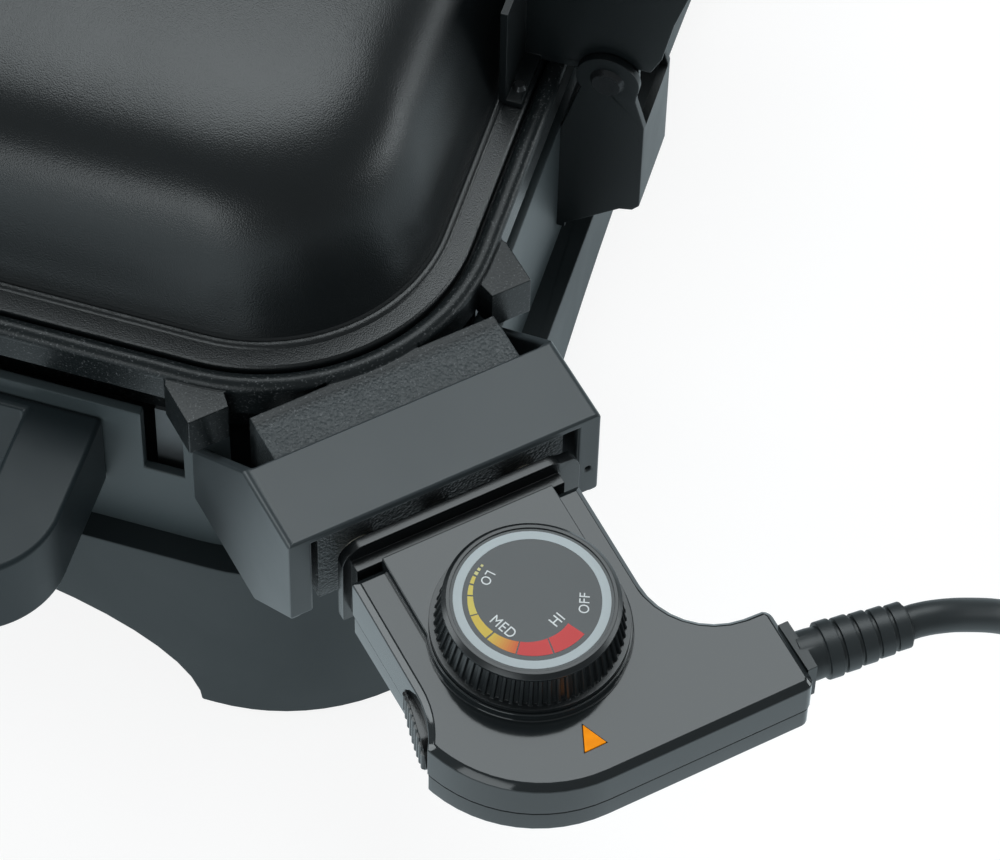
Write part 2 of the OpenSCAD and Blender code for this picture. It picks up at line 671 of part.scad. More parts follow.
module drip_tray() color("#a9abac") difference() {
  union() {
    translate([-tray_half, tray_front, tray_z])
      cube([2 * tray_half, tray_back - tray_front, tray_rim - tray_z]);
    translate([-tray_half - 8, tray_front, tray_rim - 2])
      cube([2 * tray_half + 16, tray_back - tray_front, 2]);
    // Pull lip at the front
    translate([-40, tray_front - 12, tray_rim - 2]) cube([80, 13, 2]);
    translate([-40, tray_front - 12, tray_rim - 10]) cube([80, 2, 9]);
  }
  translate([-tray_half + 1.5, tray_front + 1.5, tray_z + 1.5])
    cube([2 * tray_half - 3, tray_back - tray_front - 3, tray_rim]);
}

// Controller

function flare_r() = let (w = flare_corner[0] - flare_start, h = neck_left - flare_corner[1])
  (w * w + h * h) / (2 * h);
function outer_r() = let (w = outer_d - flare_corner[0], h = outer_t - flare_corner[1])
  (w * w + h * h) / (2 * w);

// Plan of the housing moved inwards: neck, flared finger side, round outer corner and the cord's wing
function housing_plan(by) =
  let (fr = flare_r(), fc = [flare_start, neck_left - fr], or = outer_r(), oc = [outer_d - or, outer_t],
    fa = atan2(flare_corner[1] - fc[1], flare_corner[0] - fc[0]),
    oa = atan2(flare_corner[1] - oc[1], flare_corner[0] - oc[0]),
    wr = wing_in - dial_d)
  concat([[neck_front + by, neck_left + by]],
    arc(fc, fr + by, 90, fa + 1.2 * by, 6), arc(oc, or - by, oa + 2 + by, 0, 12),
    arc([outer_d - wing_r, wing_t - wing_r], max(0.2, wing_r - by), 0, 90, 4),
    arc([wing_in + wing_r, wing_t - wing_r], max(0.2, wing_r - by), 90, 160, 3),
    arc([dial_d, neck_right + wr], wr + by, -5, -90, 8),
    [[neck_front + by, neck_right - by]]);

function top_at(d) = dial_top - tan(top_slope) * (d - dial_d);
function flat_ring(pts, z) = [for (p = pts) [p[0], p[1], z]];

// Rings level with the sloping top, their points straight above the plan
function slope_ring(pts, z) = [for (p = pts)
  [(p[0] - dial_d - z * sin(top_slope)) / cos(top_slope), p[1] - dial_t, z]];

screw_spots = [[30, -25], [30, 26], [80, -17], [84, 48]];

// Part of the collar that is let into the housing's front
module collar_box() translate([5, -31, -35]) cube([11, 62, 19.6]);

// Seat of the finger pad in the flared side, no deeper than half the wall
module grip_seat() difference() {
  side_grip_shape(6, false);
  translate([0, 0, ctl_bottom - 5]) linear_extrude(40) polygon(housing_plan(1.6));
}

module controller_top() color("#17191b") at_corner() difference() {
  union() {
    difference() {
      at_top() skin([slope_ring(housing_plan(0), -30), slope_ring(housing_plan(0), -bevel),
        slope_ring(housing_plan(bevel), 0)], true);
      intersection() {
        translate([0, 0, seam_z - 5]) linear_extrude(40) polygon(housing_plan(shell_t));
        at_top() translate([-80, -80, -43]) cube([180, 180, 40]);
      }
    }
    // Raised platform and the round boss under the dial
    at_top() translate([0, 0, -2]) linear_extrude(boss_h + 2) {
      circle(boss_r);
      translate([platform_front - dial_d, -platform_half])
        square([dial_d - platform_front, 2 * platform_half]);
    }
    for (p = screw_spots) translate([p[0], p[1], seam_z - 1])
      cylinder(h = top_at(p[0]) - 1 - seam_z, r = 3.4);
  }
  translate([-50, -150, seam_z - 60]) cube([300, 300, 60]);
  collar_box();
  grip_seat();
  translate([0, 0, seam_z - 1]) lens_shape(30);
  at_top() cylinder(h = 30, r = 3.5, center = true);
  for (p = screw_spots) translate([p[0], p[1], seam_z - 1]) cylinder(h = 9, r = 1.5);
}

module controller_base() color("#191b1d") at_corner() difference() {
  union() {
    difference() {
      skin([flat_ring(housing_plan(1.4), ctl_bottom), flat_ring(housing_plan(0.3), ctl_bottom + 1.4),
        flat_ring(housing_plan(0.3), seam_z)], true);
      translate([0, 0, ctl_bottom + 2.5]) linear_extrude(20) polygon(housing_plan(shell_t));
    }
    for (p = screw_spots) translate([p[0], p[1], ctl_bottom + 2])
      cylinder(h = seam_z - ctl_bottom - 2, r = 4.2);
  }
  collar_box();
  grip_seat();
  for (p = screw_spots) translate([p[0], p[1], ctl_bottom - 1]) {
    cylinder(h = seam_z - ctl_bottom + 3, r = 1.7);
    cylinder(h = 2.8, r = 3);
  }
}

// Dark collar that faces the terminals and holds the sockets
module socket_collar() color("#0f1011") at_corner() difference() {
  union() {
    translate([2, 0, 0]) rotate([90, 0, 90]) linear_extrude(3.2) {
      translate([-34.5, -39]) square([70.5, 26]);
      translate([-27.5, -39]) square([56.5, 33]);
      for (t = [-27.5, 29]) translate([t, -13]) circle(7);
    }
    translate([5, -32, -36]) cube([4, 64, 25]);
    collar_box();
  }
  translate([0, 0, pin_z]) rotate([0, 90, 0]) cylinder(h = 30, r = probe_r);
  for (s = [-1, 1]) translate([0, s * pin_t, pin_z]) rotate([0, 90, 0]) cylinder(h = 30, r = 4.2);
}

module contact_sockets() color("#c08a4a") at_corner() for (s = [-1, 1])
  translate([2.5, s * pin_t, pin_z]) rotate([0, 90, 0]) difference() {
    cylinder(h = 18, r = 4.2);
    translate([0, 0, -1]) cylinder(h = 17.5, r = pin_r + 0.08);
  }

module sensor_probe() color("#c4c6c6") at_corner() translate([-47, 0, pin_z]) rotate([0, 90, 0]) {
  cylinder(h = 1.5, r1 = probe_r - 1.5, r2 = probe_r);
  translate([0, 0, 1.5]) cylinder(h = 75.5, r = probe_r);
}

// Snap switch that the dial's shaft turns
module thermostat_switch() color("#6b5a45") at_corner() difference() {
  translate([30, dial_t - 13, ctl_bottom + 2.5]) cube([30, 26, 15.5]);
  at_top() cylinder(h = 30, r = 3.08, center = true);
}

// Ribbed finger pad across the hollow of the flared side, on both covers
module side_grip_shape(out, ribs) {
  lean = atan2(-4.7, 21);
  translate([52.5, -36.8, -26]) rotate(lean) rotate([90, 0, 0]) {
    translate([0, 0, -5]) linear_extrude(5 + out) {
      translate([-5.5, -6.3]) square([11, 12.6]);
      for (s = [-1, 1]) translate([s * 5.5, 0]) circle(6.3);
    }
    if (ribs) for (i = [-4 : 4]) translate([i * 2.4, 0, 0.1]) rotate([90, 0, 0])
      cylinder(h = 11.6 - 0.28 * i * i, r = 0.9, center = true);
  }
}

module side_grip() color("#101112") at_corner() difference() {
  side_grip_shape(0.2, true);
  translate([0, 0, ctl_bottom - 5]) linear_extrude(40) polygon(housing_plan(1.6));
}

module lens_shape(h) linear_extrude(h) polygon([[77.8, 0.4], [85.1, -2.9], [85, 3.5]]);

module indicator_lens() color("#ff8a00") at_corner() intersection() {
  translate([0, 0, seam_z + 4]) lens_shape(30);
  at_top() translate([0, -20, -5]) cube([60, 40, 5.3]);
}

module indicator_lamp() color("#ffb060") at_corner() translate([82.2, 0.5, ctl_bottom + 2.5])
  cylinder(h = top_at(82.2) - 5.3 - ctl_bottom - 2.5, r = 1.6);

module controller_screws() color("#777777") at_corner() for (p = screw_spots)
  translate([p[0], p[1], ctl_bottom + 1.8]) {
    translate([0, 0, -1.6]) cylinder(h = 1.6, r = 2.8);
    translate([0, 0, -eps]) cylinder(h = 14, r = 1.4);
  }

// Cord, coil and plug

relief_way = unit([cord_route[0][0] - relief_start[0], cord_route[0][1] - relief_start[1]]);
relief_l = norm([cord_route[0][0] - relief_start[0], cord_route[0][1] - relief_start[1]]);

// Flange against the wing, then a ribbed sleeve that narrows to the cord
module strain_relief() color("#141516") at_corner() union() {
  translate([relief_start[0] - 8, wing_t, relief_start[2] - rim_z - 7]) cube([16.5, 3, 14]);
  translate([relief_start[0], relief_start[1], relief_start[2] - rim_z])
    rotate([0, 90, atan2(relief_way[1], relief_way[0])]) rotate_extrude() {
      polygon([[0, 1.6], [7.3, 1.6], [7.3, 6], [5.5, relief_l], [0, relief_l]]);
      for (i = [0 : 4]) translate([0, 8.8 + 5.2 * i]) square([8.2 - 0.4 * i, 3.9]);
    }
}

module power_cord() color("#17181a") tube([for (p = cord_route) corner_point(p)], cord_d / 2, 10);

// Spiral in along the table, climb in the half turn where it reverses, then spiral out on top
function climb(u) = let (s = max(0, min(1, 2 * (u - coil_turns / 2) + 0.5))) s * s * (3 - 2 * s);
function coil_point(u) =
  let (a = 90 - 360 * u, r = coil_in + coil_pitch * abs(u - coil_turns / 2))
  corner_point([coil_c[0] + r * sin(a), coil_c[1] + r * cos(a), coil_z + coil_pitch * climb(u)]);
function coil_path() =
  let (n = round(loop_rings * coil_turns), end = coil_point(coil_turns),
    way = unit(corner_point([-1, 0, 0]) - corner_point([0, 0, 0])))
  concat([for (t = [251, 253]) corner_point([92, t, coil_z])],
    [for (i = [0 : n]) coil_point(coil_turns * i / n)], [end + cord_d * way, end + coil_tail * way]);

// Least gap between the coil's turns, on its own points
coil_pts = coil_path();
coil_gap = min([for (i = [0 : len(coil_pts) - 1], j = [i + 14 : 1 : len(coil_pts) - 1])
  norm(coil_pts[i] - coil_pts[j])]) - cord_d;
echo(coil_gap = coil_gap);

module cord_coil() color("#17181a") tube(coil_pts, cord_d / 2, 6);

// Strap round the bundle, on the side away from the lead
module cord_tie() color("#2c2c2c") at_corner() translate([coil_c[0], coil_c[1], -rim_z]) rotate(-90 - 45)
  rotate([90, 0, 0]) linear_extrude(12, center = true) difference() {
    tie_loop(0);
    tie_loop(0.6);
  }
module tie_loop(inset) translate([38, 0]) {
  translate([inset + 4, inset]) square([26 - 2 * inset - 8, 22.2 - 2 * inset]);
  translate([inset, inset + 4]) square([26 - 2 * inset, 22.2 - 2 * inset - 8]);
  for (x = [inset + 4, 26 - inset - 4], y = [inset + 4, 22.2 - inset - 4]) translate([x, y]) circle(4);
}

// Moulded plug lying on the table, pointing away from the coil
plug_at = [coil_c[0] - coil_tail, coil_c[1] + coil_out, coil_z + coil_pitch];
module at_plug() at_corner()
  translate([plug_at[0], plug_at[1], plug_at[2] - rim_z]) mirror([1, 0, 0]) children();

module plug_body() color("#17181a") at_plug() union() {
  rotate([0, 90, 0]) rotate_extrude() {
    polygon([[0, 0], [5.6, 0], [7.5, 22], [0, 22]]);
    for (i = [0 : 3]) translate([0, 3 + 4.6 * i]) square([6.9 + 0.35 * i, 2.2]);
  }
  translate([21, 0, 0]) rotate([90, 0, 90]) linear_extrude(34) {
    translate([-13, -9.8]) square([26, 19.6]);
    translate([-7, -plug_at[2]]) square([14, 2 * plug_at[2]]);
    for (s = [-1, 1], z = [-1, 1]) translate([s * 7, z * 9.8]) circle(6);
  }
}

module plug_blades() color("#c8b070") at_plug() translate([55, 0, 0]) {
  for (s = [-1, 1]) translate([0, s * 6.35 - 0.75, 0.6]) cube([17, 1.5, 6.3]);
  translate([0, 0, -8]) rotate([0, 90, 0]) cylinder(h = 20, r = 2.4);
}

// Dial

rib_z = boss_h + 1.7;
bezel_z = dial_rise - 2.8;

module dial_knob() color("#121314") at_dial() difference() {
  union() {
    translate([0, 0, boss_h + 0.4]) cylinder(h = 1.4, r = bezel_d / 2 + 3);
    translate([0, 0, rib_z]) linear_extrude(bezel_z - rib_z + eps, scale = 0.92) polygon(rib_outline());
    translate([0, 0, bezel_z]) rotate_extrude()
      polygon([[0, 0], [bezel_d / 2 - 0.8, 0], [bezel_d / 2, 0.8], [bezel_d / 2, 1.6],
        [bezel_d / 2 - 1.2, 2.8], [0, 2.8]]);
  }
  translate([0, 0, bezel_z + 1.7]) cylinder(h = 4, r = bezel_d / 2 - 2.2);
  cylinder(h = bezel_z - 1, r = 3);
}

// Fine upright ribs, wider at the foot
function rib_outline() = [for (i = [0 : rib_count - 1], s = [0 : 3])
  let (a = 360 / rib_count * (i + [0, 0.34, 0.46, 0.88][s]), r = bezel_d / 2 + (s < 2 ? 1.7 : 0.9))
    [r * cos(a), r * sin(a)]];

module dial_face() color("#8d9093") at_dial()
  translate([0, 0, bezel_z + 1.7]) cylinder(h = 0.7, r = bezel_d / 2 - 2.2);

module knob_shaft() color("#b9b9b6") at_dial() translate([0, 0, -14]) cylinder(h = 13 + bezel_z, r = 3);

base_stand();
rubber_feet();
base_tub();
stand_screws();
right_handle();
left_handle();
handle_screws();
grill_plate();
plate_screws();
heating_element();
element_clips();
clip_screws();
terminal_pins();
pin_insulators();
heat_reflector();
probe_guard();
guard_screws();
right_base_bracket();
left_base_bracket();
bracket_screws();
hinge_pins();
tray_rails();
rail_screws();
drip_tray();
lid_shell();
right_lid_bracket();
left_lid_bracket();
lid_rivets();
lid_handle();
handle_posts();
post_screws();
controller_top();
controller_base();
socket_collar();
contact_sockets();
sensor_probe();
thermostat_switch();
side_grip();
indicator_lens();
indicator_lamp();
controller_screws();
strain_relief();
power_cord();
cord_coil();
cord_tie();
plug_body();
plug_blades();
dial_knob();
dial_face();
knob_shaft();
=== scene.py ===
import bpy
import json
import math
from mathutils import Matrix, Vector


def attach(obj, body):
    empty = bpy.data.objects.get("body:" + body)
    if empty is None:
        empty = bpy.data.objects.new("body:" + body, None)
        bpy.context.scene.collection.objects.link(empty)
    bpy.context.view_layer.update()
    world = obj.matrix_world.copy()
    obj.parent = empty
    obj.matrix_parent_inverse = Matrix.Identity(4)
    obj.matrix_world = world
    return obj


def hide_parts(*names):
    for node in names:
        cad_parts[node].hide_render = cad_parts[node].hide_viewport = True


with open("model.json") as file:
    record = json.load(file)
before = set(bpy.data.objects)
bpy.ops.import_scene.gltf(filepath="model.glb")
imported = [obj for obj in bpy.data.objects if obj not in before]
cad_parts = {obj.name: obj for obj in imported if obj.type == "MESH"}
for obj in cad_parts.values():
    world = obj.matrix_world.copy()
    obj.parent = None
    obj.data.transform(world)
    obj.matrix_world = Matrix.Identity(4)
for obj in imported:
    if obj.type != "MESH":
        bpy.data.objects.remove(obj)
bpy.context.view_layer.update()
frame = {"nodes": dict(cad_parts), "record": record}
nodes = frame["nodes"]
record = frame["record"]
scene = bpy.context.scene
scene.view_settings.view_transform = "Standard"
bodyOf = {node: body for body, members in record["behaviour"]["bodies"].items() for node in members}
slotOf = {part["node"]: part["material_slot"] for part in record["subparts"]}
print("frame loaded,", len(nodes), "nodes")

# the plug-in corner of the rim: out = away from the pan, side = along the guard, up = above the table
cornerAt = (0.2255, 0.1755)
rimUp = 0.157
diagonal = math.sqrt(0.5)
outWay = Vector((diagonal, diagonal, 0))
sideWay = Vector((-diagonal, diagonal, 0))
upWay = Vector((0, 0, 1))
weldDistance = 0.000004
millimetres = 1000  # in a metre
micrometres = 1000000  # in a metre


def cornerPoint(out, side, up):
    return Vector((cornerAt[0], cornerAt[1], 0)) + outWay * out + sideWay * side + upWay * up


def pickNone():
    if bpy.context.object and bpy.context.object.mode != "OBJECT":
        bpy.ops.object.mode_set(mode="OBJECT")
    bpy.ops.object.select_all(action="DESELECT")


def pickOnly(piece):
    pickNone()
    piece.select_set(True)
    bpy.context.view_layer.objects.active = piece


def clearPicks(piece, kind):  # ends in object mode, so that the picks can be set one by one
    pickOnly(piece)
    bpy.ops.object.mode_set(mode="EDIT")
    bpy.ops.mesh.select_mode(type=kind)
    bpy.ops.mesh.select_all(action="DESELECT")
    bpy.ops.object.mode_set(mode="OBJECT")


def applyModifiers(piece):
    pickOnly(piece)
    for modifier in list(piece.modifiers):
        bpy.ops.object.modifier_apply(modifier=modifier.name)


def settle(piece, matrix):  # place goes into the mesh, the object stays at the origin
    pickOnly(piece)
    piece.matrix_world = matrix
    bpy.ops.object.transform_apply(location=True, rotation=True, scale=True)


def copyNode(name, node):
    piece = bpy.data.objects.new(name, nodes[node].data.copy())
    scene.collection.objects.link(piece)
    return piece


# camera at the photograph's viewing angle
camera = {
    "turn": -29.19,
    "tilt": 55.27,
    "roll": 1.54,
    "lens": 178.46,
    "sensor": 36,
    "place": (0.9489, 0.3950, 1.2719),
}


def placeCamera():
    turn, tilt, roll = [math.radians(camera[angle]) for angle in ("turn", "tilt", "roll")]
    level = outWay * math.cos(turn) + sideWay * math.sin(turn)
    back = level * math.cos(tilt) + upWay * math.sin(tilt)
    right = upWay.cross(back).normalized()
    above = back.cross(right)
    rolledRight = right * math.cos(roll) + above * math.sin(roll)
    rolledAbove = above * math.cos(roll) - right * math.sin(roll)
    pose = Matrix((rolledRight, rolledAbove, back)).transposed().to_4x4()
    pose.translation = Vector(camera["place"])
    pickNone()
    bpy.ops.object.camera_add()
    eye = bpy.context.object
    eye.name = "photoCamera"
    eye.matrix_world = pose
    eye.data.lens = camera["lens"]
    eye.data.sensor_width = camera["sensor"]
    scene.camera = eye


placeCamera()
print("camera placed")

# mains lead: the part source's own route as out, side and up in metres, then the stored coil
lead = {
    "diameter": 0.0096,
    "route": [
        (0.0854, 0.097, 0.1335), (0.08577, 0.1, 0.1335), (0.0872, 0.1065, 0.1329), (0.0889, 0.1155, 0.1295),
        (0.0906, 0.125, 0.124), (0.0915, 0.135, 0.114), (0.092, 0.145, 0.101), (0.092, 0.155, 0.086),
        (0.092, 0.165, 0.07), (0.092, 0.175, 0.054), (0.092, 0.185, 0.039), (0.092, 0.195, 0.026),
        (0.092, 0.206, 0.015), (0.092, 0.218, 0.0082), (0.092, 0.231, 0.0058), (0.092, 0.244, 0.0056),
    ],
    "turns": 3.25,
    "coilInner": 0.045,
    "pitch": 0.0102,
    "coilSide": 0.255,
    "lift": 0.0056,
    "knotsPerTurn": 24,
    "tail": 0.03,
    "stepsBetween": 5,
    "roundness": 6,
}


def leadPoints():
    points = [cornerPoint(*place) for place in lead["route"]]
    middle = lead["turns"] / 2
    centreOut = lead["route"][-1][0] - lead["coilInner"] - lead["pitch"] * middle
    count = round(lead["knotsPerTurn"] * lead["turns"])
    for i in range(count + 1):
        turned = lead["turns"] * i / count
        angle = math.radians(90 - 360 * turned)
        radius = lead["coilInner"] + lead["pitch"] * abs(turned - middle)
        climb = max(0, min(1, 2 * (turned - middle) + 0.5))  # the second layer lies on the first
        up = lead["lift"] + lead["pitch"] * climb * climb * (3 - 2 * climb)
        side = lead["coilSide"] + radius * math.cos(angle)
        points.append(cornerPoint(centreOut + radius * math.sin(angle), side, up))
    end = points[-1]
    points += [end - outWay * lead["diameter"], end - outWay * lead["tail"]]
    return points


def makeLead():
    points = leadPoints()
    curve = bpy.data.curves.new("mainsLead", "CURVE")
    curve.dimensions = "3D"
    curve.resolution_u = lead["stepsBetween"]
    curve.bevel_depth = 1  # the points carry the thickness, so the curve's box stays true
    curve.bevel_resolution = lead["roundness"]
    curve.use_fill_caps = True
    spline = curve.splines.new("BEZIER")
    spline.bezier_points.add(len(points) - 1)
    for knot, place in zip(spline.bezier_points, points):
        knot.co = place
        knot.radius = lead["diameter"] / 2
        knot.handle_left_type = "AUTO"
        knot.handle_right_type = "AUTO"
    piece = bpy.data.objects.new("mainsLead", curve)
    scene.collection.objects.link(piece)
    length = sum((stop - start).length for start, stop in zip(points, points[1:]))
    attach(piece, "controller")
    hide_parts("power_cord", "cord_coil")
    print("lead laid, length", round(length, 3))
    return piece, points[0], round(length, 2)


mainsLead, leadExit, leadLength = makeLead()


# shader nodes that the floor and the finishes share
def feed(tree, socket, value):  # a socket is linked, anything else becomes the set value
    if isinstance(value, bpy.types.NodeSocket):
        tree.links.new(value, socket)
    else:
        socket.default_value = value


def mathNode(tree, operation, first, second):
    node = tree.nodes.new("ShaderNodeMath")
    node.operation = operation
    feed(tree, node.inputs[0], first)
    feed(tree, node.inputs[1], second)
    return node.outputs[0]


def mixNode(tree, kind, share, first, second):
    node = tree.nodes.new("ShaderNodeMix")
    node.data_type = kind
    feed(tree, node.inputs["Factor"], share)
    feed(tree, node.inputs["A"], first)
    feed(tree, node.inputs["B"], second)
    return node.outputs["Result"]


def rangeNode(tree, value, low, high, toLow=0.0, toHigh=1.0):
    node = tree.nodes.new("ShaderNodeMapRange")
    labels = ("Value", "From Min", "From Max", "To Min", "To Max")
    for label, given in zip(labels, (value, low, high, toLow, toHigh)):
        feed(tree, node.inputs[label], given)
    return node.outputs[0]


def noiseNode(tree, coords, scale, detail, roughness=0.5, distortion=0.0):
    node = tree.nodes.new("ShaderNodeTexNoise")
    labels = ("Vector", "Scale", "Detail", "Roughness", "Distortion")
    for label, given in zip(labels, (coords, scale, detail, roughness, distortion)):
        feed(tree, node.inputs[label], given)
    return node.outputs["Fac"]


# floor and sky; the floor is white to the eye, and its reflections are cooler and darker towards the rear
stage = {
    "size": 14,
    "drop": 0.0002,
    "floorColour": (0.86, 0.86, 0.86),
    "floorGlow": 1.16,
    "glowShare": 0.75,
    "mirrored": (0.74, 0.88, 0.94),
    "mirroredRear": (0.14, 0.17, 0.18),
    "rearFade": (0.6, 1.3),
    "sky": 0.24,
    "skyColour": (0.9, 0.97, 1.0),
}


def makeFloorFinish():
    finish = bpy.data.materials.new("paleFloor")
    finish.use_nodes = True
    tree = finish.node_tree
    tree.nodes.clear()
    matt = tree.nodes.new("ShaderNodeBsdfDiffuse")
    matt.inputs["Color"].default_value = (*stage["floorColour"], 1)
    glow = tree.nodes.new("ShaderNodeEmission")
    glow.inputs["Strength"].default_value = stage["floorGlow"]
    where = tree.nodes.new("ShaderNodeSeparateXYZ")
    tree.links.new(tree.nodes.new("ShaderNodeTexCoord").outputs["Object"], where.inputs[0])
    fade = rangeNode(tree, where.outputs["Y"], *stage["rearFade"])
    mirrored = mixNode(tree, "RGBA", fade, (*stage["mirrored"], 1), (*stage["mirroredRear"], 1))
    ray = tree.nodes.new("ShaderNodeLightPath").outputs
    shade = mixNode(tree, "RGBA", ray["Is Camera Ray"], mirrored, (1, 1, 1, 1))
    tree.links.new(shade, glow.inputs["Color"])
    direct = mathNode(tree, "MAXIMUM", ray["Is Camera Ray"], ray["Is Glossy Ray"])
    seen = mathNode(tree, "MAXIMUM", direct, ray["Is Transmission Ray"])
    blend = tree.nodes.new("ShaderNodeMixShader")
    tree.links.new(mathNode(tree, "MULTIPLY", seen, stage["glowShare"]), blend.inputs[0])
    tree.links.new(matt.outputs[0], blend.inputs[1])
    tree.links.new(glow.outputs[0], blend.inputs[2])
    tree.links.new(blend.outputs[0], tree.nodes.new("ShaderNodeOutputMaterial").inputs["Surface"])
    return finish


def makeStage():
    pickNone()
    bpy.ops.mesh.primitive_plane_add(size=stage["size"], location=(0, 0, -stage["drop"]))
    floor = bpy.context.object
    floor.name = "paleFloor"
    floor.data.materials.append(makeFloorFinish())
    world = bpy.data.worlds.new("studio")
    world.use_nodes = True
    sky = world.node_tree.nodes["Background"]
    sky.inputs["Color"].default_value = (*stage["skyColour"], 1)
    sky.inputs["Strength"].default_value = stage["sky"]
    scene.world = world


# lamp: place, aim, width, depth, watts
lampColour = (0.9, 0.975, 1.0)
lamps = {
    "overheadSoftbox": ((-0.56, -0.02, 1.82), (0.25, 0.2, 0.1), 1.65, 1.1, 21.5),
    "rearSoftbox": ((-0.75, 2.1, 0.42), (0.1, 0.1, 0.15), 1.5, 0.4, 10.0),
    "frontFill": ((0.75, -1.9, 0.75), (0.2, 0, 0.1), 1.2, 0.7, 12.0),
    "rightStrip": ((2.1, -0.1, 0.6), (0.1, 0.1, 0.12), 1.0, 1.0, 9.0),
}


def makeLamps():
    for name, (place, aim, width, depth, watts) in lamps.items():
        pickNone()
        bpy.ops.object.light_add(type="AREA", location=place)
        lamp = bpy.context.object
        lamp.name = name
        lamp.data.shape = "RECTANGLE"
        lamp.data.size = width
        lamp.data.size_y = depth
        lamp.data.energy = watts
        lamp.data.color = lampColour
        lamp.rotation_euler = (Vector(aim) - Vector(place)).to_track_quat("-Z", "Y").to_euler()


makeStage()
makeLamps()
print("stage lit")

# shader groups: noise detail and shape, and where their masks begin and end
drift = {"detail": 4, "roughness": 0.55}
pebble = {"smoothness": 0.35, "grainScale": 2.3, "grainDetail": 3, "spotDetail": 1, "fleck": (0.62, 0.74)}
rubbed = {"detail": 6, "roughness": 0.6, "distortion": 0.4, "span": (0.3, 0.7)}
fleckColour = (0.16, 0.165, 0.17)


def newGroup(name, inputs, outputs):
    group = bpy.data.node_groups.new(name, "ShaderNodeTree")
    for label, kind, value in inputs:
        socket = group.interface.new_socket(name=label, in_out="INPUT", socket_type=kind)
        if value is not None:
            socket.default_value = value
    for label, kind in outputs:
        group.interface.new_socket(name=label, in_out="OUTPUT", socket_type=kind)
    return group, group.nodes.new("NodeGroupInput").outputs, group.nodes.new("NodeGroupOutput").inputs


def makeToneDrift():  # slow drift of colour, as in moulded or sprayed surfaces
    inputs = [
        ("Coords", "NodeSocketVector", None), ("Colour", "NodeSocketColor", (0.5, 0.5, 0.5, 1)),
        ("Per Metre", "NodeSocketFloat", 30.0), ("Spread", "NodeSocketFloat", 0.1),
    ]
    group, given, result = newGroup("toneDrift", inputs, [("Colour", "NodeSocketColor")])
    noise = noiseNode(group, given["Coords"], given["Per Metre"], **drift)
    swing = mathNode(group, "MULTIPLY", mathNode(group, "SUBTRACT", noise, 0.5), 2.0)
    gain = mathNode(group, "ADD", mathNode(group, "MULTIPLY", swing, given["Spread"]), 1.0)
    toned = group.nodes.new("ShaderNodeVectorMath")
    toned.operation = "SCALE"
    group.links.new(given["Colour"], toned.inputs[0])
    group.links.new(gain, toned.inputs["Scale"])
    group.links.new(toned.outputs[0], result["Colour"])
    return group


def makeStipple():  # pebbled or stippled skin: round bumps over a finer grain
    inputs = [
        ("Coords", "NodeSocketVector", None), ("Per Metre", "NodeSocketFloat", 1500.0),
        ("Fine", "NodeSocketFloat", 0.3),
    ]
    outputs = [("Height", "NodeSocketFloat"), ("Fleck", "NodeSocketFloat")]
    group, given, result = newGroup("stipple", inputs, outputs)
    cells = group.nodes.new("ShaderNodeTexVoronoi")
    cells.feature = "SMOOTH_F1"
    cells.inputs["Smoothness"].default_value = pebble["smoothness"]
    group.links.new(given["Coords"], cells.inputs["Vector"])
    group.links.new(given["Per Metre"], cells.inputs["Scale"])
    dome = mathNode(group, "SUBTRACT", 1.0, cells.outputs["Distance"])
    grainPerMetre = mathNode(group, "MULTIPLY", given["Per Metre"], pebble["grainScale"])
    grain = noiseNode(group, given["Coords"], grainPerMetre, pebble["grainDetail"])
    height = mathNode(group, "ADD", dome, mathNode(group, "MULTIPLY", grain, given["Fine"]))
    group.links.new(height, result["Height"])
    spots = noiseNode(group, given["Coords"], given["Per Metre"], pebble["spotDetail"])
    group.links.new(rangeNode(group, spots, *pebble["fleck"]), result["Fleck"])
    return group


def makeHandled():  # faint rubbed patches that change the gloss
    inputs = [
        ("Coords", "NodeSocketVector", None), ("Per Metre", "NodeSocketFloat", 18.0),
        ("Low", "NodeSocketFloat", 0.3), ("High", "NodeSocketFloat", 0.4),
    ]
    group, given, result = newGroup("handled", inputs, [("Roughness", "NodeSocketFloat")])
    shape = (rubbed["detail"], rubbed["roughness"], rubbed["distortion"])
    noise = noiseNode(group, given["Coords"], given["Per Metre"], *shape)
    gloss = rangeNode(group, noise, *rubbed["span"], given["Low"], given["High"])
    group.links.new(gloss, result["Roughness"])
    return group


toneDrift = makeToneDrift()
stipple = makeStipple()
handled = makeHandled()

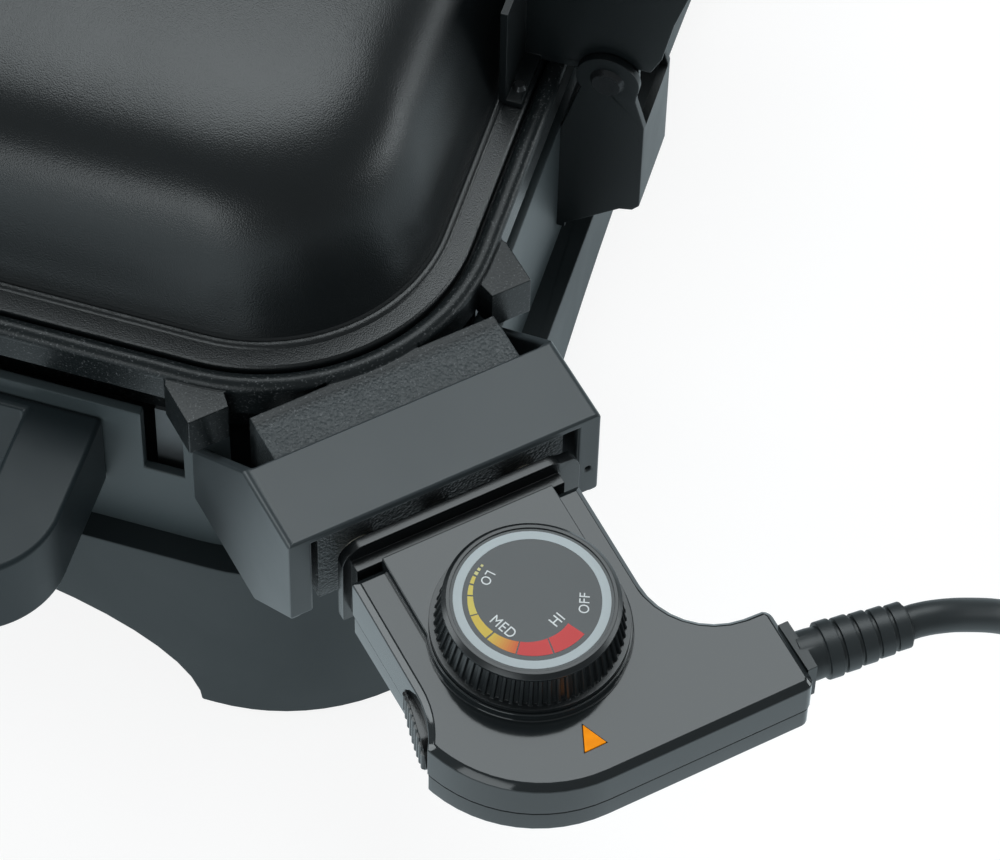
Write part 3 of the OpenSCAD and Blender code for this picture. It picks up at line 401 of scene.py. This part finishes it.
# finish: colour, drift spread, roughness low and high, stipple cells per metre, stipple depth in micrometres
finishes = {
    "base_plastic": dict(colour=(0.0165, 0.0228, 0.025), spread=0.1, rough=(0.46, 0.56),
                         cells=2600, depth=12, specular=0.38),
    "handle_plastic": dict(colour=(0.0185, 0.026, 0.0295), spread=0.08, rough=(0.36, 0.46),
                           cells=3000, depth=6, specular=0.25),
    "foot_rubber": dict(colour=(0.018, 0.018, 0.018), spread=0.15, rough=(0.6, 0.75), cells=1800, depth=20),
    # the terminal block at the corner is cast with a coarser skin: where it starts, outwards from the corner
    "cast_plate": dict(colour=(0.0085, 0.0112, 0.0122), spread=0.12, rough=(0.3, 0.38),
                       cells=1500, depth=34, flecks=0.5, specular=0.3,
                       block=dict(colour=(0.046, 0.053, 0.056), cells=1050, fine=0.5, gain=7.0,
                                  start=-0.0405, fade=0.0015)),
    "lid_coat": dict(colour=(0.0062, 0.008, 0.0088), spread=0.1, rough=(0.28, 0.33), cells=2300, depth=46),
    "bracket_coat": dict(colour=(0.0072, 0.0098, 0.0108), spread=0.12, rough=(0.34, 0.44),
                         cells=2400, depth=15, specular=0.3),
    "guard_coat": dict(colour=(0.04, 0.048, 0.052), spread=0.06, rough=(0.3, 0.36),
                       cells=3200, depth=5, specular=0.36),
    "screw_steel": dict(colour=(0.42, 0.42, 0.41), spread=0.12, rough=(0.28, 0.4), metal=1,
                        brushed=(1, 1, 14), cells=900, depth=8),
    "dark_steel": dict(colour=(0.028, 0.03, 0.032), spread=0.15, rough=(0.24, 0.34), metal=0.5,
                       cells=1500, depth=10),
    "post_metal": dict(colour=(0.5, 0.51, 0.52), spread=0.06, rough=(0.22, 0.32), metal=1,
                       brushed=(1, 30, 1), cells=700, depth=6),
    "element_sheath": dict(colour=(0.1, 0.09, 0.082), spread=0.3, rough=(0.4, 0.6), metal=0.8,
                           cells=1500, depth=20),
    "bright_steel": dict(colour=(0.58, 0.58, 0.57), spread=0.06, rough=(0.2, 0.3), metal=1,
                         brushed=(1, 24, 1), cells=800, depth=5),
    "sheet_aluminium": dict(colour=(0.6, 0.61, 0.61), spread=0.06, rough=(0.26, 0.38), metal=1,
                            brushed=(18, 1, 1), cells=600, depth=6),
    "ceramic": dict(colour=(0.72, 0.67, 0.57), spread=0.06, rough=(0.45, 0.6), cells=1600, depth=20),
    "housing_gloss": dict(colour=(0.016, 0.0195, 0.021), spread=0.05, rough=(0.075, 0.115),
                          cells=500, depth=1.5, drift=12),
    "collar_plastic": dict(colour=(0.005, 0.006, 0.0066), spread=0.08, rough=(0.18, 0.26),
                           cells=2600, depth=8),
    "dial_print": dict(colour=(0.026, 0.0315, 0.034), spread=0.05, rough=(0.22, 0.28),
                       cells=2500, depth=2, specular=0.4),
    "brass": dict(colour=(0.72, 0.52, 0.27), spread=0.1, rough=(0.22, 0.34), metal=1,
                  brushed=(1, 1, 12), cells=900, depth=6),
    "switch_body": dict(colour=(0.2, 0.15, 0.1), spread=0.12, rough=(0.4, 0.5), cells=1600, depth=10),
    # the lens's glow is painted light: the orange lens shines though it is no lamp
    "lens_orange": dict(colour=(0.95, 0.29, 0.0015), spread=0.35, rough=(0.35, 0.45),
                        cells=700, depth=4, glow=0.26, specular=0.06, drift=200),
    "lamp_glass": dict(colour=(0.95, 0.6, 0.3), spread=0.05, rough=(0.05, 0.1),
                       cells=400, depth=2, clear=0.8),
    "cord_rubber": dict(colour=(0.022, 0.027, 0.029), spread=0.1, rough=(0.38, 0.48), cells=2600, depth=12),
    "tie_plastic": dict(colour=(0.03, 0.03, 0.03), spread=0.1, rough=(0.4, 0.5), cells=2200, depth=10),
}
# finishes that one piece has of its own
ownFinishes = {
    "base_tub": dict(colour=(0.05, 0.064, 0.0685), spread=0.08, rough=(0.42, 0.5),
                     cells=2600, depth=12, specular=0.4),
    "heat_reflector": dict(colour=(0.11, 0.12, 0.125), spread=0.2, rough=(0.45, 0.6), metal=0.5,
                           cells=1200, depth=10),
    "cover_seam": dict(colour=(0.0022, 0.0026, 0.0028), spread=0.1, rough=(0.6, 0.7),
                       cells=2600, depth=4, specular=0.1),
    "dial_knob": dict(colour=(0.011, 0.0133, 0.0145), spread=0.05, rough=(0.26, 0.33), cells=900, depth=2),
}
usualDrift = 40
usualSpecular = 0.5


def groupNode(tree, group, values):
    node = tree.nodes.new("ShaderNodeGroup")
    node.node_tree = group
    for label, value in values.items():
        feed(tree, node.inputs[label], value)
    return node.outputs


def mixBlock(tree, coords, block, height, colour):
    skin = groupNode(tree, stipple, {"Coords": coords, "Per Metre": block["cells"], "Fine": block["fine"]})
    away = tree.nodes.new("ShaderNodeVectorMath")
    away.operation = "DOT_PRODUCT"
    away.inputs[1].default_value = outWay
    tree.links.new(coords, away.inputs[0])
    start = sum(cornerAt) * diagonal + block["start"]
    inside = rangeNode(tree, away.outputs["Value"], start - block["fade"], start + block["fade"])
    coarse = mathNode(tree, "MULTIPLY", skin["Height"], block["gain"])
    mixedHeight = mixNode(tree, "FLOAT", inside, height, coarse)
    mixedColour = mixNode(tree, "RGBA", inside, colour, (*block["colour"], 1))
    return mixedHeight, mixedColour


def makeFinish(name, values):
    finish = bpy.data.materials.new(name)
    finish.use_nodes = True
    tree = finish.node_tree
    shader = tree.nodes["Principled BSDF"]
    coords = tree.nodes.new("ShaderNodeTexCoord").outputs["Object"]
    grainCoords = coords
    if "brushed" in values:  # stretch the grain one way
        stretch = tree.nodes.new("ShaderNodeMapping")
        stretch.inputs["Scale"].default_value = values["brushed"]
        tree.links.new(coords, stretch.inputs["Vector"])
        grainCoords = stretch.outputs[0]
    perMetre = values.get("drift", usualDrift)
    tone = groupNode(tree, toneDrift, {"Coords": coords, "Colour": (*values["colour"], 1),
                                       "Per Metre": perMetre, "Spread": values["spread"]})
    skin = groupNode(tree, stipple, {"Coords": grainCoords, "Per Metre": values["cells"]})
    low, high = values["rough"]
    gloss = groupNode(tree, handled, {"Coords": coords, "Low": low, "High": high})
    height = skin["Height"]
    colour = tone["Colour"]
    if "block" in values:
        height, colour = mixBlock(tree, coords, values["block"], height, colour)
    if "flecks" in values:
        share = mathNode(tree, "MULTIPLY", skin["Fleck"], values["flecks"])
        colour = mixNode(tree, "RGBA", share, colour, (*fleckColour, 1))
    tree.links.new(colour, shader.inputs["Base Color"])
    tree.links.new(gloss["Roughness"], shader.inputs["Roughness"])
    bump = tree.nodes.new("ShaderNodeBump")
    bump.inputs["Strength"].default_value = 1
    bump.inputs["Distance"].default_value = values["depth"] / micrometres
    tree.links.new(height, bump.inputs["Height"])
    tree.links.new(bump.outputs[0], shader.inputs["Normal"])
    shader.inputs["Metallic"].default_value = values.get("metal", 0)
    shader.inputs["Specular IOR Level"].default_value = values.get("specular", usualSpecular)
    # a glow is painted light, a surface that shines though it is no lamp
    if "glow" in values:
        tree.links.new(colour, shader.inputs["Emission Color"])
        shader.inputs["Emission Strength"].default_value = values["glow"]
    if "clear" in values:
        shader.inputs["Transmission Weight"].default_value = values["clear"]
    return finish


materials = {name: makeFinish(name, values) for name, values in finishes.items()}
ownMaterials = {name: makeFinish(name + "_finish", values) for name, values in ownFinishes.items()}
for name, node in nodes.items():
    for slot in node.material_slots:
        slot.material = ownMaterials.get(name, materials[slotOf[name]])
mainsLead.data.materials.append(materials["cord_rubber"])
print("finishes made,", len(materials))

# rounded edges: width in millimetres, where zero only smooths, steps, and whether flat faces are joined first
softEdges = {
    "base_stand": (0.6, 2, True),
    "base_tub": (0.6, 2, True),
    "right_handle": (1.6, 4, True),
    "left_handle": (1.6, 4, True),
    "lid_handle": (1.2, 3, True),
    "grill_plate": (0.5, 2, True),
    "probe_guard": (0.9, 4, True),
    "right_base_bracket": (0.3, 2, False),
    "left_base_bracket": (0.3, 2, False),
    "right_lid_bracket": (0.3, 2, False),
    "left_lid_bracket": (0.3, 2, False),
    "controller_top": (0.4, 3, True),
    "controller_base": (0.4, 2, True),
    "socket_collar": (0.3, 2, False),
    "strain_relief": (0.25, 2, False),
    "plug_body": (0.6, 3, True),
    "drip_tray": (0.4, 2, True),
    "rubber_feet": (0.5, 2, True),
    "dial_knob": (0.12, 2, False),
    "side_grip": (0, 0, False),
}
# edges with a wider round, picked by the place of their middle in millimetres from the corner
wideEdges = {
    "probe_guard": [dict(width=2.0, out=(-28.1, 0.1), side=(47.9, 48.1), up=(156.9, 157.1))],
}
sliverLength = 0.00002
flatWithin = math.radians(0.02)
sharpFrom = math.radians(32)
smoothUpTo = math.radians(35)


def weighEdges(piece, width, chosen):  # the widest round gets weight one, the rest their share of it
    clearPicks(piece, "EDGE")
    bpy.ops.object.mode_set(mode="EDIT")
    bpy.ops.mesh.edges_select_sharp(sharpness=sharpFrom)
    bpy.ops.object.mode_set(mode="OBJECT")
    corner = cornerPoint(0, 0, 0)
    points = piece.data.vertices
    widest = max(edge["width"] for edge in chosen)
    weights = piece.data.attributes.new("bevel_weight_edge", "FLOAT", "EDGE")
    for line, weight in zip(piece.data.edges, weights.data):
        if not line.select:
            continue
        start, stop = [points[i].co for i in line.vertices]
        middle = ((start + stop) / 2 - corner) * millimetres
        place = {"out": middle.dot(outWay), "side": abs(middle.dot(sideWay)), "up": middle.z}
        widths = [width]
        for edge in chosen:
            if all(edge[way][0] < value < edge[way][1] for way, value in place.items()):
                widths.append(edge["width"])
        weight.value = max(widths) / widest
    return widest


def roundEdges(piece, name, width, steps):
    bevel = piece.modifiers.new("edge", "BEVEL")
    bevel.width = width / millimetres
    bevel.segments = steps
    bevel.limit_method = "ANGLE"
    bevel.angle_limit = sharpFrom
    if name in wideEdges:
        bevel.limit_method = "WEIGHT"
        bevel.width = weighEdges(piece, width, wideEdges[name]) / millimetres
    bevel.use_clamp_overlap = False
    applyModifiers(piece)


def softenNode(name, width, steps, joinFlats):
    piece = copyNode("soft_" + name, name)
    pickOnly(piece)
    bpy.ops.mesh.customdata_custom_splitnormals_clear()
    bpy.ops.object.mode_set(mode="EDIT")
    bpy.ops.mesh.select_all(action="SELECT")
    bpy.ops.mesh.remove_doubles(threshold=weldDistance)
    bpy.ops.mesh.dissolve_degenerate(threshold=sliverLength)
    if joinFlats:
        bpy.ops.mesh.dissolve_limited(angle_limit=flatWithin)
    bpy.ops.object.mode_set(mode="OBJECT")
    if width:
        roundEdges(piece, name, width, steps)
    bpy.ops.object.shade_smooth_by_angle(angle=smoothUpTo)
    flatten = piece.modifiers.new("flatten", "WEIGHTED_NORMAL")  # flats stay flat beside their rounded edges
    flatten.keep_sharp = True
    applyModifiers(piece)
    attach(piece, bodyOf[name])
    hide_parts(name)
    return piece


# the collar's frame runs on round the neck's far side
collarReach = {"from": 0.033, "by": 0.0028}


def stretchCollar(piece):
    clearPicks(piece, "VERT")
    corner = cornerPoint(0, 0, 0)
    for vertex in piece.data.vertices:
        vertex.select = (vertex.co - corner).dot(sideWay) > collarReach["from"]
    bpy.ops.object.mode_set(mode="EDIT")
    bpy.ops.transform.translate(value=sideWay * collarReach["by"])
    bpy.ops.object.mode_set(mode="OBJECT")


# dark joint line between the two covers
seam = {"up": 0.1286, "height": 0.0008, "clear": 0.00005, "proud": 0.00004, "wall": 0.0003}


def makeCoverSeam():
    band = copyNode("coverSeam", "controller_base")
    pickOnly(band)
    bpy.ops.object.mode_set(mode="EDIT")
    bpy.ops.mesh.select_all(action="SELECT")
    bpy.ops.mesh.remove_doubles(threshold=weldDistance)
    bpy.ops.mesh.select_all(action="SELECT")
    bpy.ops.mesh.bisect(plane_co=(0, 0, seam["up"] - seam["height"]), plane_no=upWay, clear_inner=True)
    bpy.ops.mesh.select_all(action="SELECT")
    bpy.ops.mesh.bisect(plane_co=(0, 0, seam["up"] - seam["clear"]), plane_no=upWay, clear_outer=True)
    bpy.ops.mesh.select_all(action="SELECT")
    bpy.ops.transform.shrink_fatten(value=seam["proud"])
    bpy.ops.object.mode_set(mode="OBJECT")
    wall = band.modifiers.new("wall", "SOLIDIFY")
    wall.thickness = seam["wall"]
    wall.offset = -1
    applyModifiers(band)
    band.data.materials.clear()
    band.data.materials.append(ownMaterials["cover_seam"])
    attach(band, "controller")


softened = {name: softenNode(name, *edge) for name, edge in softEdges.items()}
makeCoverSeam()
stretchCollar(softened["socket_collar"])
print("edges softened on", len(softened), "pieces")

# lid: a pressed dome with a turned-down lip, over the same section as its solid
lid = {
    "length": 0.430,
    "depth": 0.330,
    "cornerRadius": 0.068,
    "cornerSteps": 22,
    "lipInset": 0.0065,
    "lipFrom": 0.1533,
    "lipTo": 0.1562,
    "rise": 0.058,
    "sheet": 0.002,
    "rowsPerStep": 4,
    "smoothUpTo": math.radians(38),
    # lip edge, flange, then the raised bead round the dome's foot: width and rise of each step in millimetres
    "foot": [
        (0.3, 0.6), (0.5, 0.5), (5.4, 0),
        (0.3, 0.5), (0.5, 0.35), (0.9, 0.17), (0.4, 0), (0.35, -0.25), (0.65, 0.39),
    ],
    # inset in millimetres and share of the rise, then the nearly flat crown
    "section": [
        (15.8, 0.02), (18, 0.16), (20.6, 0.36), (23.5, 0.54), (27.5, 0.69),
        (33, 0.8), (41, 0.885), (52, 0.94), (66, 0.975), (84, 1.0),
    ],
    "crown": [(104, 1.006), (130, 1.01)],
}


def easedValue(before, start, stop, after, t):
    bend = 2 * before - 5 * start + 4 * stop - after
    twist = 3 * start - before - 3 * stop + after
    return 0.5 * (2 * start + (stop - before) * t + bend * t * t + twist * t ** 3)


def smoothRows(section, steps):  # rows eased between the section's points
    rows = []
    last = len(section) - 1
    for i in range(last):
        four = [section[k] for k in (max(i - 1, 0), i, i + 1, min(i + 2, last))]
        for step in range(steps):
            rows.append(tuple(easedValue(*values, step / steps) for values in zip(*four)))
    return rows + [section[-1]]


def raiseRows():  # the picked top face is drawn up and in, row by row
    halves = (lid["length"] / 2, lid["depth"] / 2)
    rows = smoothRows(lid["section"], lid["rowsPerStep"]) + lid["crown"]
    for (lastInset, lastShare), (inset, share) in zip(rows, rows[1:]):
        climb = (share - lastShare) * lid["rise"]
        shrink = [(half - inset / millimetres) / (half - lastInset / millimetres) for half in halves]
        bpy.ops.mesh.extrude_region_move(TRANSFORM_OT_translate={"value": (0, 0, climb)})
        bpy.ops.transform.resize(value=(*shrink, 1))


def openBelow(piece):  # the first face closes the dome from below, so it goes
    clearPicks(piece, "FACE")
    lowest = min(face.center.z for face in piece.data.polygons)
    for face in piece.data.polygons:
        face.select = face.center.z == lowest
    bpy.ops.object.mode_set(mode="EDIT")
    bpy.ops.mesh.delete(type="FACE")
    bpy.ops.object.mode_set(mode="OBJECT")


def makeLid():
    pickNone()
    bpy.ops.mesh.primitive_plane_add(size=1, location=(0, 0, lid["lipFrom"]))
    piece = bpy.context.object
    piece.name = "lidSkin"
    piece.scale = (lid["length"] - 2 * lid["lipInset"], lid["depth"] - 2 * lid["lipInset"], 1)
    bpy.ops.object.transform_apply(location=True, rotation=True, scale=True)
    bpy.ops.object.mode_set(mode="EDIT")
    bpy.ops.mesh.select_mode(type="VERT")
    bpy.ops.mesh.select_all(action="SELECT")
    cornerWidth = lid["cornerRadius"] - lid["lipInset"]
    bpy.ops.mesh.bevel(offset=cornerWidth, segments=lid["cornerSteps"], affect="VERTICES")
    bpy.ops.mesh.select_mode(type="FACE")
    bpy.ops.mesh.select_all(action="SELECT")
    bpy.ops.mesh.extrude_region_move(TRANSFORM_OT_translate={"value": (0, 0, lid["lipTo"] - lid["lipFrom"])})
    for width, rise in lid["foot"]:
        bpy.ops.mesh.inset(thickness=width / millimetres, depth=rise / millimetres)
    raiseRows()
    bpy.ops.mesh.select_all(action="SELECT")
    bpy.ops.mesh.normals_make_consistent(inside=False)
    openBelow(piece)
    sheet = piece.modifiers.new("sheet", "SOLIDIFY")
    sheet.thickness = lid["sheet"]
    sheet.offset = -1
    applyModifiers(piece)
    bpy.ops.object.shade_smooth_by_angle(angle=lid["smoothUpTo"])
    piece.data.materials.append(materials["lid_coat"])
    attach(piece, "lid")
    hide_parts("lid_shell")


makeLid()
print("lid pressed")

# dial print: ring, tapered colour band and words, in millimetres and degrees round the dial's axis
dial = {
    "out": 0.0456,
    "side": 0.0014,
    "up": rimUp - 0.0132,
    "slope": 3,
    "faceUp": 16.4,
    "print": 0.06,
    "ring": (18.75, 21.2),
    "ringSteps": 144,
    "band": 17.3,
    "segments": [  # from, to, inner radius from, to, colour from, to
        (-141.5, -133.6, 16.35, 16.2, "yellow", "yellow"),
        (-131.8, -121.4, 16.15, 15.85, "yellow", "yellow"),
        (-119.8, -100.3, 15.8, 15.3, "yellow", "yellow"),
        (-98.9, -73.6, 15.25, 14.5, "gold", "gold"),
        (-71.8, -43.0, 14.45, 13.45, "gold", "orange"),
        (-41.6, -9.2, 13.4, 12.5, "red", "red"),
        (-7.6, 25.6, 12.45, 11.9, "red", "red"),
    ],
    "blendPieces": 10,
    "leastSteps": 6,
    "degreesPerStep": 2,
    "dots": [(-155.0, 0.7), (-150.2, 0.85), (-145.3, 1.0)],  # angle and size
    "dotRadius": 16.8,
    "dotCorner": (0.1, 3),
    "words": [  # text, angle, radius, letter height
        ("LO", -146, 13.6, 2.7), ("MED", -70, 11.6, 3.0), ("HI", 19.5, 9.1, 3.1), ("OFF", 58.8, 14.1, 2.8),
    ],
    "narrow": 0.88,
    "letterShare": 0.69,  # a capital's height as a share of the text size
    "letterGap": 1.06,
}
inkColours = {
    "yellow": (0.72, 0.58, 0.13),
    "gold": (0.72, 0.52, 0.09),
    "orange": (0.72, 0.13, 0.05),
    "red": (0.67, 0.068, 0.068),
    "silver": (0.5, 0.545, 0.56),
    "white": (0.8, 0.82, 0.82),
    "pale": (0.72, 0.66, 0.3),
}
inkRoughness = {"silver": 0.3, "white": 0.35, "colour": 0.32}
inkSpan = 0.06


def turnAbout(degrees):
    return Matrix.Rotation(math.radians(degrees), 4, "Z")


def dialMatrix():
    slope = math.radians(dial["slope"])
    axisX = outWay * math.cos(slope) - upWay * math.sin(slope)
    axisZ = outWay * math.sin(slope) + upWay * math.cos(slope)
    pose = Matrix((axisX, sideWay, axisZ)).transposed().to_4x4()
    pose.translation = cornerPoint(dial["out"], dial["side"], dial["up"])
    return pose


def printInk(name, colour, roughness):
    rough = (roughness, roughness + inkSpan)
    return makeFinish(name, dict(colour=colour, spread=0.06, rough=rough, cells=1800, depth=3, specular=0.15))


def finishPrint(piece, material):
    settle(piece, dialMatrix() @ Matrix.Translation((0, 0, dial["faceUp"] / millimetres)))
    piece.data.materials.clear()
    piece.data.materials.append(material)
    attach(piece, "dial")


def thickenPrint():  # from edit mode: the flat outline gets the print's thickness
    bpy.ops.mesh.select_all(action="SELECT")
    bpy.ops.mesh.extrude_region_move(TRANSFORM_OT_translate={"value": (0, 0, dial["print"] / millimetres)})
    bpy.ops.mesh.select_all(action="SELECT")
    bpy.ops.mesh.normals_make_consistent(inside=False)
    bpy.ops.object.mode_set(mode="OBJECT")


def makeRing(material):
    inner, outer = dial["ring"]
    pickNone()
    steps = dial["ringSteps"]
    bpy.ops.mesh.primitive_circle_add(vertices=steps, radius=outer / millimetres, fill_type="NGON")
    piece = bpy.context.object
    piece.name = "dialRing"
    bpy.ops.object.mode_set(mode="EDIT")
    bpy.ops.mesh.select_all(action="SELECT")
    bpy.ops.mesh.inset(thickness=(outer - inner) / millimetres)
    bpy.ops.mesh.delete(type="FACE")
    thickenPrint()
    finishPrint(piece, material)


def makeSegment(number, angles, inners, material):
    start, stop = angles
    innerStart, innerStop = inners
    steps = max(dial["leastSteps"], round((stop - start) / dial["degreesPerStep"]))
    pickNone()
    bpy.ops.mesh.primitive_grid_add(x_subdivisions=steps, y_subdivisions=2, size=1)
    piece = bpy.context.object
    piece.name = "dialBand%d" % number
    for vertex in piece.data.vertices:  # wrap the strip round the axis
        along = vertex.co.x + 0.5
        across = vertex.co.y + 0.5
        angle = math.radians(start + (stop - start) * along)
        inner = innerStart + (innerStop - innerStart) * along
        radius = (inner + (dial["band"] - inner) * (1 - across)) / millimetres
        vertex.co = (radius * math.cos(angle), radius * math.sin(angle), 0)
    bpy.ops.object.mode_set(mode="EDIT")
    thickenPrint()
    finishPrint(piece, material)


def makeBlend(number, angles, inners, first, last):  # a segment whose colour runs from one to the other
    pieces = dial["blendPieces"]
    for k in range(pieces):
        mixed = tuple(a + (b - a) * (k + 0.5) / pieces for a, b in zip(inkColours[first], inkColours[last]))
        ink = printInk("dialBlend%d" % k, mixed, inkRoughness["colour"])
        span, rims = [[low + (high - low) * j / pieces for j in (k, k + 1)] for low, high in (angles, inners)]
        makeSegment(pieces * number + k, span, rims, ink)


def makeDot(number, angle, size, material):
    pickNone()
    bpy.ops.mesh.primitive_plane_add(size=size / millimetres)
    piece = bpy.context.object
    piece.name = "dialDot%d" % number
    bpy.ops.object.mode_set(mode="EDIT")
    bpy.ops.mesh.select_all(action="SELECT")
    cornerWidth, cornerSteps = dial["dotCorner"]
    bpy.ops.mesh.bevel(offset=cornerWidth / millimetres, segments=cornerSteps, affect="VERTICES")
    thickenPrint()
    settle(piece, turnAbout(angle) @ Matrix.Translation((dial["dotRadius"] / millimetres, 0, 0)))
    finishPrint(piece, material)


def makeWord(text, angle, radius, height, material):
    pickNone()
    bpy.ops.object.text_add()
    words = bpy.context.object
    words.name = "dialWord" + text.title()
    words.data.body = text
    words.data.size = height / dial["letterShare"] / millimetres
    words.data.align_x = "CENTER"
    words.data.align_y = "CENTER"
    words.data.space_character = dial["letterGap"]
    words.data.extrude = dial["print"] / 2 / millimetres  # half the print's thickness to each side
    bpy.ops.object.convert(target="MESH")
    piece = bpy.context.object
    place = Matrix.Translation((radius / millimetres, 0, dial["print"] / 2 / millimetres))
    # letters stand with their feet towards the rim
    settle(piece, turnAbout(angle) @ place @ turnAbout(90) @ Matrix.Diagonal((dial["narrow"], 1, 1, 1)))
    finishPrint(piece, material)


def makeDialPrint():
    silver = printInk("dialSilver", inkColours["silver"], inkRoughness["silver"])
    white = printInk("dialWhite", inkColours["white"], inkRoughness["white"])
    makeRing(silver)
    for i, (start, stop, innerStart, innerStop, first, last) in enumerate(dial["segments"]):
        angles = (start, stop)
        inners = (innerStart, innerStop)
        if first == last:
            ink = printInk("dialInk%d" % i, inkColours[first], inkRoughness["colour"])
            makeSegment(i, angles, inners, ink)
        else:
            makeBlend(i, angles, inners, first, last)
    pale = printInk("dialPale", inkColours["pale"], inkRoughness["colour"])
    for i, (angle, size) in enumerate(dial["dots"]):
        makeDot(i, angle, size, pale)
    for word in dial["words"]:
        makeWord(*word, white)


makeDialPrint()
print("dial printed")
